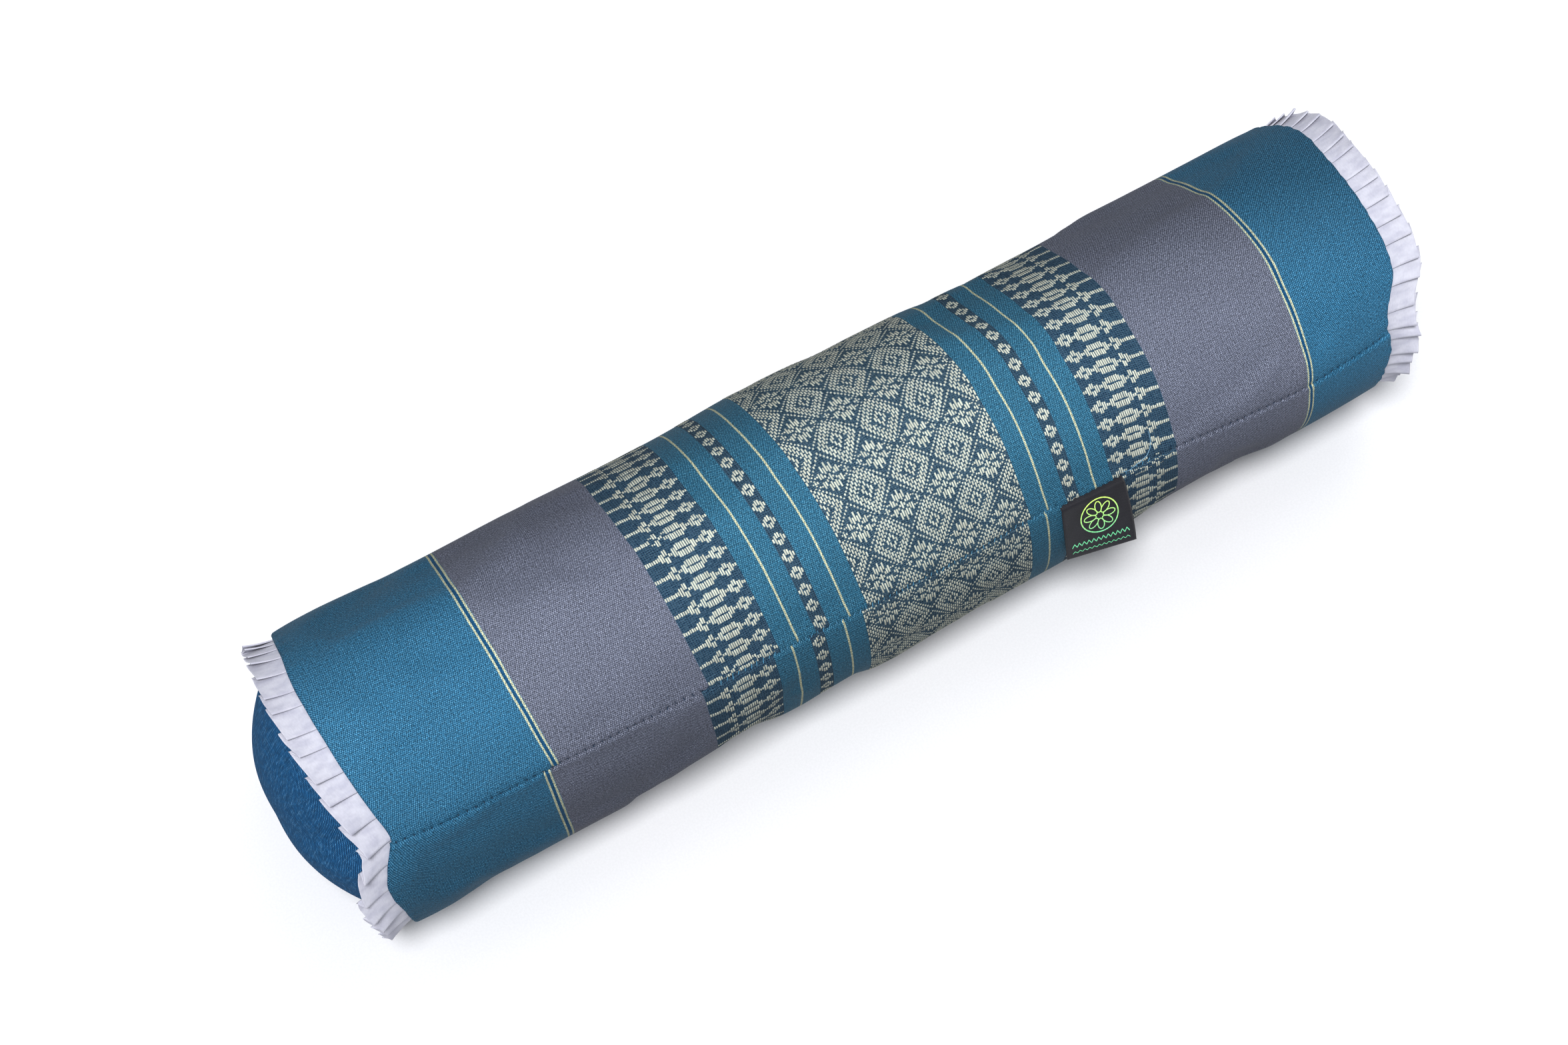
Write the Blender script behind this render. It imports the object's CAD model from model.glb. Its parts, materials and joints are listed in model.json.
import json
import bmesh
import bpy
import numpy as np
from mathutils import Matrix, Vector


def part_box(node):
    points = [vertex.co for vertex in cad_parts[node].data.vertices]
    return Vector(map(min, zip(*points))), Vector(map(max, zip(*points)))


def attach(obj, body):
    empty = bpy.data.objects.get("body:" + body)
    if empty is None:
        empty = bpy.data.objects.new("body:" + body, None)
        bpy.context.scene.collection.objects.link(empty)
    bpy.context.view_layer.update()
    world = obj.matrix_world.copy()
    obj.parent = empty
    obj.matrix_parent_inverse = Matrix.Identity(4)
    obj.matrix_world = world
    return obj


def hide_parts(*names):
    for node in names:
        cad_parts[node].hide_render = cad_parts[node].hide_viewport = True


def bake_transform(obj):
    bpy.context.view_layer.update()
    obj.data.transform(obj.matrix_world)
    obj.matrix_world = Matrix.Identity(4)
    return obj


# Bolster pillow, as it looks. Arrays are in millimetres, in the frame's own axes, and build_mesh
# turns them into metres. A place on the cover is (x along the roll, angle up from the front). A
# place in the cloth is (x as woven, weft: millimetres round the roll from the front).

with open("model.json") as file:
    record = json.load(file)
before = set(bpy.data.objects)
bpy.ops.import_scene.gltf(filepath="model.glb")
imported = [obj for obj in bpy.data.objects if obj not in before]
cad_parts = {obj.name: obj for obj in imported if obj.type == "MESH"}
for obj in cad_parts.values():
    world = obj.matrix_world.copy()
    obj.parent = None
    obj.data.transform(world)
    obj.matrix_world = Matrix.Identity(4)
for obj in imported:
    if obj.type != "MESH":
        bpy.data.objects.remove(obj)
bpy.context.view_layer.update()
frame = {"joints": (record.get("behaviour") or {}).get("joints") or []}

MM = 0.001
TAU = 2 * np.pi
rng = np.random.default_rng(7)

# ---------------------------------------------------------------- sizes

cover_low, cover_high = (np.array(corner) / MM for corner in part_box("outer_cover"))
HALF = cover_high[0]                             # the end seams lie at x = +-HALF
AXIS_HEIGHT = cover_high[2] - cover_high[1]      # of the roll's axis above the floor
RADIUS = 75.0
TAPER = 1.5                # the left end is fatter and the right end thinner by this radius
AROUND = TAU * RADIUS      # length of the cloth round the roll
FLOOR_REST = 0.75          # the pressed underside lies this high, so that nothing sinks
FLOOR_BLEND = 1.6          # how softly the round turns into the flat
DOME_HEIGHT = 40.0
RIBBON_WIDTH = 15.0

# Fullness of the filling along the roll: (x, radius added)
BULGES = (
    (-300, 0.6), (-267, 0.8), (-220, -0.6), (-158, 0.7), (-81, -1.1), (-29, 0.85),
    (45, 0.0), (121, 0.6), (177, 0.2), (228, 0.3), (300, 0.2),
)
# The long seam: (x, degrees above the axis). The upper cloth sags a little over the label
SEAM_LINE = (
    (-285, 42.2), (-240, 38.8), (-160, 37.0), (-100, 34.2), (-30, 33.2), (30, 31.6),
    (74, 31.6), (80, 30.3), (111, 29.4), (118, 30.2), (150, 28.6), (200, 24.3), (240, 23.8), (285, 28.0),
)
HAND_SEAM = (-112.0, 132.0)    # between these x it is sewn by hand, and by machine outside them
MACHINE_PITCH = 4.4
HAND_PITCH = 3.3

# How the cloth leans: x added at four places along it, by the share of the way round it,
# from the seam's upper edge (0) over the top and the back to its lower edge (1)
LEAN_PLACES = (-199.5, -43.3, 72.3, 228.5)
LEAN = (
    (0.00, -0.3, 1.3, -1.0, -3.7), (0.05, -1.5, 1.0, -0.3, -2.2), (0.14, -2.8, 0.3, 1.2, -1.8),
    (0.22, -3.5, -1.7, -0.3, -3.6), (0.31, -3.2, -2.8, -2.4, -5.5), (0.60, -4.0, -3.5, -3.5, -5.0),
    (0.90, -6.0, -3.7, -4.6, -3.5), (1.00, -5.5, -2.7, -3.3, -3.5),
)
# Uneven end seams: (share of the way round, x added)
LEFT_EDGE = (
    (0, 2.0), (0.011, 2.5), (0.032, 1.0), (0.074, -1.5), (0.117, -3.0), (0.16, -4.0),
    (0.20, -4.0), (0.25, -2.5), (0.5, -3.0), (0.75, -5.0), (0.90, -7.5), (0.94, -9.5),
    (0.968, -6.5), (0.989, -1.5), (1, 1.0),
)
RIGHT_EDGE = (
    (0, -10.5), (0.030, -8.0), (0.051, -3.0), (0.076, 0.3), (0.136, 0.5), (0.22, 1.5),
    (0.263, 4.0), (0.306, 3.0), (0.34, 0.0), (0.5, 0.5), (0.75, -5.0), (0.93, -10.5),
    (0.96, -9.0), (0.987, -9.5), (1, -10.5),
)

# The woven pattern, as distances from its middle line
PATTERN_MIDDLE = 14.5      # x of that line
CENTRE_EDGE = 47.5         # flowered centre, then blue
INNER_LINE = 57.8          # cream line in the blue
STRIP_START = 68.2         # strip of small round flowers
STRIP_END = 75.6
OUTER_LINE = 85.3          # cream line in the blue
BROCADE_START = 95.0
BROCADE_END = 133.0        # then slate
TEAL_START = 211.9         # then the double cream line and the teal
DOUBLE_LINES = (212.8, 215.4)
COLUMN = 1.2               # width of one raised yarn and its gap
ROW = 1.048                # height of one row of weft
MOTIF_ROWS = 9             # brocade repeat
FLOWER_ROWS = 27           # repeat of the flowered centre
FLOWER_COLUMNS = 20
CENTRE_COLUMNS = 80        # raised yarns across the flowered centre
BROCADE_COLUMNS = 34
BROCADE_PITCH = (BROCADE_END - BROCADE_START) / BROCADE_COLUMNS
STRIP_PITCH = 1.12
YARN_HEIGHT = 0.15
YARN_SUNK = -0.12          # where a yarn goes into the ground

# How finely the cover is made
BAND_STEP = 0.86           # between points along the roll
ROUND_STEP = 2.4           # between points round it, away from the seam
SIM_COLUMNS = 97
SIM_ROWS = 84
SIM_FRAMES = 20
SIM_REACH = 1.6            # the most that the simulation may add to the radius or take from it

# Long seam and end seams
SEAM_GROOVE = 0.4
SEAM_LIP = 0.75            # the lower cloth stands up beside the groove
HAND_LIP = 0.4
HAND_SPLIT = 10.0          # x at which the hand stitches are shared between two objects
THREAD_RADIUS = 0.24
END_THREAD_RADIUS = 0.2
TUBE_SIDES = 6
END_STITCHES = 96
LOOSE_END = (              # the closing thread's loose end: (x, weft, height over the cover)
    (113.5, 40.6, -0.2), (117, 40.0, 0.9), (121, 40.4, 0.8), (126, 41.4, 0.6),
    (130, 43.6, 0.9), (132, 47.2, 1.1), (133, 51.0, 0.8), (133.4, 54.0, -0.2),
)

# Pleated ribbon
PLEATS = 45
UNDERLAP = 6.0             # how far a pleat's folded part reaches back under it
WIDER_PLEATS = {-1: 16.0, 1: 3.0}    # how far pleats are spread round the front of each end
SEWN_DEPTH = 5.0           # ribbon held behind the cover's edge
RIBBON_THICK = 0.28

# Label
LABEL_X = 95.0
LABEL_WIDTH = 36.0
LABEL_DROP = 38.0          # from the seam to the fold
LABEL_RISE = 10.0          # how much further out the right bottom corner stands than the left
LABEL_THICK = 0.36
LAYER_GAP = 1.05           # between the two layers
ROSETTE_MIDDLE = (1.0, 15.6)
ROSETTE_RADIUS = 9.9

# Inside
LINER_HALF = 261.0         # half the length of the straight part
LINER_INSET = 4.0          # from the cover's outside
CORE_INSET = 5.5

# Floor, light and camera, in metres
FLOOR_HALF = 9.0
WORLD_LIGHT = 0.5
LIGHTS = (                 # name, place, width, watts; both aim at the middle of the floor
    ("key", (-1.2, -1.3, 6.0), 2.1, 545.0),
    ("fill", (3.0, 2.5, 5.5), 4.0, 80.0),
)
CAMERA_PLACE = (-0.2830, -0.4178, 1.2764)
CAMERA_TARGET = (-0.0363, 0.0092, 0.0710)
LENS = 59.16


# ---------------------------------------------------------------- shape of the stuffed roll

def curve_through(points):
    """Smooth function of one variable through hand-placed points."""
    xs, ys = np.array(points, float).T
    low = np.maximum(np.arange(len(xs)) - 1, 0)
    high = np.minimum(np.arange(len(xs)) + 1, len(xs) - 1)
    slopes = (ys[high] - ys[low]) / (xs[high] - xs[low])

    def at(x):
        x = np.clip(x, xs[0], xs[-1])
        i = np.clip(np.searchsorted(xs, x, "right") - 1, 0, len(xs) - 2)
        run = xs[i + 1] - xs[i]
        t = (x - xs[i]) / run
        from_start = ys[i] + run * slopes[i] * t
        from_end = ys[i + 1] - run * slopes[i + 1] * (1 - t)
        share = t * t * (3 - 2 * t)
        return from_start * (1 - share) + from_end * share
    return at


bulge = curve_through(BULGES)
seam_degrees = curve_through(SEAM_LINE)
left_edge = curve_through(LEFT_EDGE)
right_edge = curve_through(RIGHT_EDGE)
leans = [curve_through([(row[0], row[i]) for row in LEAN]) for i in range(1, 5)]


def seam_weft(x):
    """Millimetres round the roll from the front to the long seam."""
    return np.radians(seam_degrees(x)) * RADIUS


def lean(x, share):
    """How far the cloth at x, as woven, is shifted along the roll at a share of the way round."""
    stops = (-HALF,) + LEAN_PLACES + (HALF,)
    shifts = [left_edge(share)] + [curve(share) for curve in leans] + [right_edge(share)]
    total = np.zeros(np.broadcast(x, share).shape)
    for i in range(len(stops) - 1):
        part = np.clip((x - stops[i]) / (stops[i + 1] - stops[i]), 0, 1)
        if i == 0:
            total = total + shifts[0]
        total = total + part * (shifts[i + 1] - shifts[i])
    return total


def lay_cloth(x, share):
    """(x on the roll, angle) of the cloth at x as woven, a share of the way round from the seam."""
    on_roll = x + lean(x, share)
    return on_roll, (seam_weft(on_roll) + share * AROUND) / RADIUS


def row_drop(x):
    """How far the weft rows sink round the roll towards the right-hand end."""
    return 0.0005 * np.maximum(x + 20.0, 0) ** 2


# Waves of the filling: (radians per millimetre along the roll, waves round it, phase, height)
FILL_WAVES = [
    (rng.uniform(0.01, 0.055), int(rng.integers(1, 6)), rng.uniform(0, TAU), rng.uniform(0.08, 0.22))
    for _ in range(9)
]


def soft_waves(x, angle):
    """Gentle unevenness of the fibre under the cloth."""
    total = 0.0
    for along, turns, phase, size in FILL_WAVES:
        total = total + size * np.cos(along * x + turns * angle + phase)
    return total


def spline_weights(t):
    """Weights of four neighbours for a smooth reading between the middle two."""
    return (
        (1 - t) ** 3 / 6, (3 * t ** 3 - 6 * t ** 2 + 4) / 6,
        (-3 * t ** 3 + 3 * t ** 2 + 3 * t + 1) / 6, t ** 3 / 6,
    )


sim_lift = np.zeros((SIM_COLUMNS, SIM_ROWS))


def simulated(x, angle):
    """What the cloth simulation added to the radius, read smoothly from its grid."""
    u = np.clip((x / HALF + 1) / 2, 0, 1) * (SIM_COLUMNS - 1)
    v = (angle / TAU) % 1.0 * SIM_ROWS
    i, j = np.floor(u).astype(int), np.floor(v).astype(int)
    total = 0.0
    for di, wi in enumerate(spline_weights(u - i)):
        column = np.clip(i + di - 1, 0, SIM_COLUMNS - 1)
        for dj, wj in enumerate(spline_weights(v - j)):
            total = total + wi * wj * sim_lift[column, (j + dj - 1) % SIM_ROWS]
    return total


def seam_distance(x, angle):
    """Distance from the long seam, positive above it."""
    d = (angle * RADIUS - seam_weft(x)) % AROUND
    return np.where(d > AROUND / 2, d - AROUND, d)


def seam_relief(x, angle):
    """Groove of the long seam, with the lower cloth's edge as a lip and a pit at every stitch."""
    d = seam_distance(x, angle)
    by_hand = np.clip((x - HAND_SEAM[0]) / 6, 0, 1) * np.clip((HAND_SEAM[1] - x) / 6, 0, 1)
    machine = np.exp(-((x - nearest(x, machine_stitches)) / 0.95) ** 2)
    hand = np.exp(-((x - nearest(x, hand_stitches)) / 0.8) ** 2)
    pull = (1 - by_hand) * machine + by_hand * (0.7 + 0.3 * np.sin(x * 0.53)) * hand
    groove = -SEAM_GROOVE * np.exp(-(d / np.where(d > 0, 3.6, 1.6)) ** 2)
    step_up = 0.5 - 0.5 * np.cos(np.pi * np.clip(-d / 1.3, 0, 1))
    run_out = np.exp(-(np.minimum(d + 1.3, 0) / 2.8) ** 2)
    lip = (SEAM_LIP - (SEAM_LIP - HAND_LIP) * by_hand) * (1 - pull) * step_up * run_out
    reach = 1.3 + 0.4 * np.sin(x * 0.37)
    return groove + lip - pull * np.exp(-(d / reach) ** 2)


def nearest(x, places):
    """The nearest of some sorted places."""
    i = np.clip(np.searchsorted(places, x), 1, len(places) - 1)
    return np.where(x - places[i - 1] < places[i] - x, places[i - 1], places[i])


def stitch_places(first, last, pitch):
    """Places of stitches along the roll, nearly even."""
    count = int((last - first) / pitch) + 1
    return first + pitch * np.arange(count) + rng.normal(0, pitch * 0.05, count)


machine_stitches = stitch_places(-HALF + 4, HALF - 14, MACHINE_PITCH)
hand_stitches = stitch_places(HAND_SEAM[0], HAND_SEAM[1], HAND_PITCH)


def end_relief(x, angle, edge):
    """The cloth rolls over at the end seam, with shallow gathers between the stitches."""
    inside = np.maximum(edge - np.abs(x), 0)
    gather = 0.35 * np.sin(47 * angle + 1.3 * np.sin(5 * angle)) + 0.2 * np.sin(71 * angle)
    roll = 1.7 * (1 - np.sqrt(np.clip(1 - (1 - np.clip(inside / 2.0, 0, 1)) ** 2, 0, 1)))
    return gather * np.exp(-inside / 5) * (inside > 0) - roll - 0.9 * np.exp(-inside / 9)


def edge_at(side, angle):
    """x of an end seam at an angle."""
    share = ((angle * RADIUS - seam_weft(side * HALF)) % AROUND) / AROUND
    return side * HALF + np.where(side < 0, left_edge(share), right_edge(share))


def rest_on_floor(z):
    """Height pressed up to the floor's, with a soft turn from round to flat."""
    above = z - FLOOR_REST
    return FLOOR_REST + 0.5 * (above + np.sqrt(above * above + FLOOR_BLEND ** 2))


def around_axis(x, radius, angle):
    """Point at a radius from the roll's axis, pressed flat where it meets the floor."""
    y = -radius * np.cos(angle)
    z = AXIS_HEIGHT + radius * np.sin(angle)
    return np.stack(np.broadcast_arrays(x, y, rest_on_floor(z)), -1)


def plain_radius(x):
    """Radius of the roll, with its taper and the fullness of its filling."""
    return RADIUS - TAPER * x / HALF + bulge(x)


def skin(x, angle):
    """Point on the outside of the cover."""
    edge = np.abs(edge_at(np.where(x < 0, -1, 1), angle))
    squeeze = 0.9 * np.exp(-((np.cos(angle) / 0.5) ** 2)) * (np.sin(angle) < 0)
    radius = plain_radius(x) + soft_waves(x, angle) + simulated(x, angle) + squeeze
    radius = radius + seam_relief(x, angle) + end_relief(x, angle, edge)
    return around_axis(x, radius, angle)


def unit(vectors):
    """Vectors brought to length 1."""
    return vectors / np.linalg.norm(vectors, axis=-1, keepdims=True)


def lifted(x, angle, lift):
    """Point above the cover."""
    step = 0.4
    along = skin(x + step, angle) - skin(x - step, angle)
    round_it = skin(x, angle + step / RADIUS) - skin(x, angle - step / RADIUS)
    return skin(x, angle) + unit(np.cross(along, round_it)) * np.asarray(lift)[..., None]


# ---------------------------------------------------------------- meshes

def grid_faces(rows, columns, closed=False):
    """Quads of a grid of points, numbered row by row; closed joins its last column to its first."""
    row = np.arange(rows - 1)[:, None]
    column = np.arange(columns - 1)[None, :]
    low, high = row * columns + column, (row + 1) * columns + column
    faces = np.stack([low, low + 1, high + 1, high], -1).reshape(-1, 4)
    if closed:
        first = row[:, 0] * columns
        last = first + columns - 1
        faces = np.concatenate([faces, np.stack([last, first, first + columns, last + columns], -1)])
    return faces


def build_mesh(name, points, faces, material, attributes=()):
    """Mesh object from points in millimetres and quads, with any number of attributes."""
    mesh = bpy.data.meshes.new(name)
    mesh.from_pydata((points.reshape(-1, 3) * MM).tolist(), [], faces.tolist())
    for key, values in dict(attributes).items():
        kind, field = ("FLOAT_VECTOR", "vector") if values.shape[-1:] == (3,) else ("FLOAT", "value")
        layer = mesh.attributes.new(key, kind, "POINT")
        layer.data.foreach_set(field, np.ascontiguousarray(values, np.float32).ravel())
    mesh.polygons.foreach_set("use_smooth", np.ones(len(mesh.polygons), bool))
    mesh.materials.append(material)
    obj = bpy.data.objects.new(name, mesh)
    bpy.context.scene.collection.objects.link(obj)
    return obj


def repeated_faces(count, rows, columns):
    """Quads of many equal little grids."""
    one = grid_faces(rows, columns)
    return (np.arange(count)[:, None, None] * rows * columns + one[None]).reshape(-1, 4)


def tubes(paths, radius):
    """Little tubes along paths (count, points, 3): points and faces. Their ends are tapered."""
    count, length = paths.shape[:2]
    forward = unit(np.gradient(paths, axis=1))
    out = paths * np.array([0, 1, 1]) - np.array([0, 0, AXIS_HEIGHT])
    side = unit(np.cross(forward, out))
    up = unit(np.cross(side, forward))
    taper = np.sqrt(np.clip(np.sin(np.linspace(0.04, np.pi - 0.04, length)), 0, 1)) ** 0.5
    turn = np.linspace(0, TAU, TUBE_SIDES + 1)
    ring = side[:, :, None] * np.cos(turn)[:, None] + up[:, :, None] * np.sin(turn)[:, None]
    points = paths[:, :, None] + ring * (radius * taper)[:, None, None]
    return points.reshape(-1, 3), repeated_faces(count, length, TUBE_SIDES + 1)


# ---------------------------------------------------------------- materials

class Shader:
    """Short way to write a material's nodes: each call adds a node and returns its output."""

    def __init__(self, name, roughness=0.8, sheen=0.0, specular=0.3):
        self.material = bpy.data.materials.new(name)
        self.material.use_nodes = True
        self.tree = self.material.node_tree
        self.tree.nodes.clear()
        self.principled = self.tree.nodes.new("ShaderNodeBsdfPrincipled")
        output = self.tree.nodes.new("ShaderNodeOutputMaterial")
        self.tree.links.new(self.principled.outputs[0], output.inputs[0])
        self.principled.inputs["Roughness"].default_value = roughness
        self.principled.inputs["Sheen Weight"].default_value = sheen
        self.principled.inputs["Specular IOR Level"].default_value = specular

    def put(self, socket, value):
        """Links a node's output to a socket, or sets the socket to a plain value."""
        if isinstance(value, bpy.types.NodeSocket):
            self.tree.links.new(value, socket)
        else:
            socket.default_value = value

    def math(self, operation, *values):
        node = self.tree.nodes.new("ShaderNodeMath")
        node.operation = operation
        for socket, value in zip(node.inputs, values):
            self.put(socket, value)
        return node.outputs[0]

    def attribute(self, name):
        node = self.tree.nodes.new("ShaderNodeAttribute")
        node.attribute_name = name
        return node

    def parts(self, vector):
        """The three parts of a vector."""
        node = self.tree.nodes.new("ShaderNodeSeparateXYZ")
        self.put(node.inputs[0], vector)
        return node.outputs

    def stretch(self, vector, x, y, z=1.0):
        node = self.tree.nodes.new("ShaderNodeVectorMath")
        node.operation = "MULTIPLY"
        self.put(node.inputs[0], vector)
        node.inputs[1].default_value = (x, y, z)
        return node.outputs[0]

    def noise(self, vector, scale=1.0, detail=2.0, rough=0.5):
        node = self.tree.nodes.new("ShaderNodeTexNoise")
        self.put(node.inputs["Vector"], vector)
        node.inputs["Scale"].default_value = scale
        node.inputs["Detail"].default_value = detail
        node.inputs["Roughness"].default_value = rough
        return node.outputs[0]

    def spread(self, value, from_low, from_high, to_low=0.0, to_high=1.0, smooth=True):
        """A value moved from one range to another, and kept inside it."""
        node = self.tree.nodes.new("ShaderNodeMapRange")
        node.interpolation_type = "SMOOTHSTEP" if smooth else "LINEAR"
        self.put(node.inputs["Value"], value)
        for key, number in zip(("From Min", "From Max", "To Min", "To Max"),
                               (from_low, from_high, to_low, to_high)):
            node.inputs[key].default_value = number
        return node.outputs[0]

    def mix(self, share, a, b):
        """Colour a, turning into colour b as share goes from 0 to 1."""
        node = self.tree.nodes.new("ShaderNodeMix")
        node.data_type = "RGBA"
        self.put(node.inputs[0], share)
        for socket, value in ((node.inputs[6], a), (node.inputs[7], b)):
            self.put(socket, rgb(value) if isinstance(value, tuple) else value)
        return node.outputs[2]

    def wave(self, value, period, phase=0.0):
        """Sine of a value, -1 to 1."""
        angle = self.math("MULTIPLY_ADD", value, TAU / period, phase)
        return self.math("SINE", angle)

    def brighten(self, colour, factor):
        """Colour times a factor near 1."""
        node = self.tree.nodes.new("ShaderNodeVectorMath")
        node.operation = "SCALE"
        self.put(node.inputs[0], colour)
        self.put(node.inputs["Scale"], factor)
        return node.outputs[0]

    def finish(self, colour, height, depth, strength=0.8, roughness=None):
        """The material, with its colour, its relief (depth in millimetres) and its roughness."""
        self.put(self.principled.inputs["Base Color"], colour)
        if roughness is not None:
            self.put(self.principled.inputs["Roughness"], roughness)
        bump = self.tree.nodes.new("ShaderNodeBump")
        bump.inputs["Strength"].default_value = strength
        bump.inputs["Distance"].default_value = depth * MM
        self.put(bump.inputs["Height"], height)
        self.tree.links.new(bump.outputs[0], self.principled.inputs["Normal"])
        return self.material


def rgb(colour):
    """Screen colour 0 to 255 as the linear colour that a shader wants."""
    value = np.array(colour[:3]) / 255
    linear = np.where(value <= 0.04045, value / 12.92, ((value + 0.055) / 1.055) ** 2.4)
    return (*linear.tolist(), 1.0)


def cloth_coordinates(s, wander=0.35):
    """Place in the cloth, and its parts with the slight wander of real yarns."""
    place = s.attribute("cloth").outputs["Vector"]
    x, weft, _ = s.parts(place)
    sway_x = s.noise(s.stretch(place, 0.5, 0.06), detail=1.0)
    sway_weft = s.noise(s.stretch(place, 0.06, 0.5), detail=1.0)
    x = s.math("ADD", x, s.math("MULTIPLY", sway_x, wander))
    weft = s.math("ADD", weft, s.math("MULTIPLY", sway_weft, wander))
    return place, x, weft


def yarn_tone(s, place, strength=0.5):
    """Brightness of single yarns, of both directions, and of whole patches of cloth."""
    warp = s.noise(s.stretch(place, 1.1, 0.09), detail=2.0)
    weft = s.noise(s.stretch(place, 0.09, 1.3), detail=2.0)
    patch = s.noise(s.stretch(place, 0.05, 0.05), detail=3.0)
    total = s.math("ADD", s.math("ADD", warp, weft), patch)
    return s.spread(total, 1.0, 2.0, 1 - strength / 2, 1 + strength / 2, smooth=False)


def faded(s, colour, weft):
    """The cloth is paler along the top of the roll and deeper towards the floor and behind."""
    turned = s.math("SUBTRACT", weft, 98.0)
    away = s.math("ABSOLUTE", s.math("PINGPONG", turned, AROUND / 2))
    return s.brighten(colour, s.spread(away, 8.0, 92.0, 1.0, 0.58))


def near_lines(s, x, lines, half_width):
    """1 on any of the lines, 0 elsewhere."""
    total = None
    for line in lines:
        away = s.math("ABSOLUTE", s.math("SUBTRACT", x, line))
        mask = s.spread(away, half_width + 0.12, half_width - 0.12)
        total = mask if total is None else s.math("MAXIMUM", total, mask)
    return total


def plain_weave(name, light, middle, hole, lines=(), line_half=0.5, deep=None):
    """Firm plain weave: lighter threads round staggered dark holes, in a flecked yarn."""
    s = Shader(name, specular=0.14)
    place, x, weft = cloth_coordinates(s)
    over = s.math("MULTIPLY", s.wave(x, 1.07), s.wave(weft, 1.4))
    fleck = s.noise(s.stretch(place, 1.5, 1.7), detail=3.0, rough=0.8)
    second = s.noise(s.stretch(place, 0.8, 0.95), detail=2.0, rough=0.7)
    lit = s.math("MULTIPLY", s.spread(over, -0.1, 0.75), s.spread(fleck, 0.4, 0.62, 0.25, 1.0))
    dark = s.math("MULTIPLY", s.spread(over, -0.1, -0.75), s.spread(fleck, 0.6, 0.4, 0.35, 1.0))
    colour = s.mix(lit, middle, light)
    colour = s.mix(dark, colour, hole)
    if lines:
        stripe = near_lines(s, x, lines, line_half)
        dots = s.math("MULTIPLY", stripe, s.spread(over, -0.5, 0.3, 0.35, 1.0))
        if deep:
            band = near_lines(s, x, (sum(lines) / len(lines),), 0.75)
            colour = s.mix(s.math("MULTIPLY", band, 0.8), colour, deep)
        colour = s.mix(dots, colour, LINE_CREAM)
    grain = s.spread(s.math("ADD", fleck, second), 0.78, 1.22, 0.58, 1.42, smooth=False)
    colour = s.brighten(s.brighten(colour, grain), yarn_tone(s, place, 0.14))
    colour = faded(s, colour, weft)
    height = s.math("MULTIPLY_ADD", fleck, 1.1, s.math("ABSOLUTE", over))
    return s.finish(colour, height, depth=0.13, roughness=s.spread(fleck, 0.3, 0.7, 0.5, 0.72))


def figured_ground(name, light, middle, dark):
    """Ground under the raised yarns: dark dashes in staggered rows and thin wavy light wefts."""
    s = Shader(name, specular=0.14)
    place, x, weft = cloth_coordinates(s, 0.5)
    over = s.math("MULTIPLY", s.wave(x, 2 * COLUMN), s.wave(weft, 2 * ROW))
    sway = s.math("MULTIPLY", s.wave(x, 2 * COLUMN, 0.8), 0.14)
    fine = s.math("ABSOLUTE", s.wave(s.math("ADD", weft, sway), ROW))
    broken = s.noise(s.stretch(place, 0.45, 1.6), detail=2.0)
    thread = s.math("MULTIPLY", s.spread(fine, 0.78, 0.98), s.spread(broken, 0.38, 0.6))
    dash = s.spread(s.math("ABSOLUTE", over), 0.25, 0.7)
    colour = s.mix(dash, middle, dark)
    colour = s.mix(s.math("MULTIPLY", thread, 0.85), colour, light)
    colour = faded(s, s.brighten(colour, yarn_tone(s, place, 0.3)), weft)
    height = s.math("SUBTRACT", s.math("MULTIPLY", thread, 0.8), dash)
    return s.finish(colour, height, depth=0.2, roughness=s.spread(broken, 0.3, 0.7, 0.7, 0.9))


def raised_yarn(name, top, side):
    """Soft cotton yarn of the pattern: darker down its sides, with fine fibres along it."""
    s = Shader(name, roughness=0.75, specular=0.15)
    place = s.attribute("cloth").outputs["Vector"]
    weft = s.parts(place)[1]
    rise = s.attribute("rise").outputs["Fac"]
    own = s.attribute("tone").outputs["Fac"]
    fibres = s.noise(s.stretch(place, 9.0, 1.6), detail=3.0, rough=0.65)
    colour = s.mix(s.spread(rise, 0.0, 0.45), side, top)
    tone = s.math("MULTIPLY_ADD", s.math("ADD", own, fibres), 0.26, 0.78)
    colour = faded(s, s.brighten(colour, tone), weft)
    return s.finish(colour, fibres, depth=0.12, roughness=s.spread(fibres, 0.3, 0.7, 0.65, 0.85))


def denim(name, light, middle, dark):
    """Fine twill with an uneven, mottled yarn."""
    s = Shader(name, specular=0.12)
    place, x, weft = cloth_coordinates(s, 0.6)
    twill = s.wave(s.math("ADD", x, s.math("MULTIPLY", weft, 0.62)), 0.95)
    across = s.wave(weft, 0.8)
    slub = s.noise(s.stretch(place, 0.9, 0.16), detail=4.0, rough=0.7)
    mottle = s.noise(s.stretch(place, 0.35, 0.35), detail=5.0, rough=0.75)
    grain = s.math("ADD", s.math("MULTIPLY", twill, 0.6), s.math("MULTIPLY", across, 0.25))
    colour = s.mix(s.spread(grain, -0.7, 0.7), dark, middle)
    fleck = s.math("MULTIPLY", s.spread(slub, 0.45, 0.72), s.spread(grain, -0.2, 0.6))
    colour = s.mix(fleck, colour, light)
    colour = s.brighten(colour, s.spread(mottle, 0.25, 0.75, 0.62, 1.38, smooth=False))
    return s.finish(colour, grain, depth=0.14, roughness=s.spread(mottle, 0.3, 0.7, 0.75, 0.92))


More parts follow.
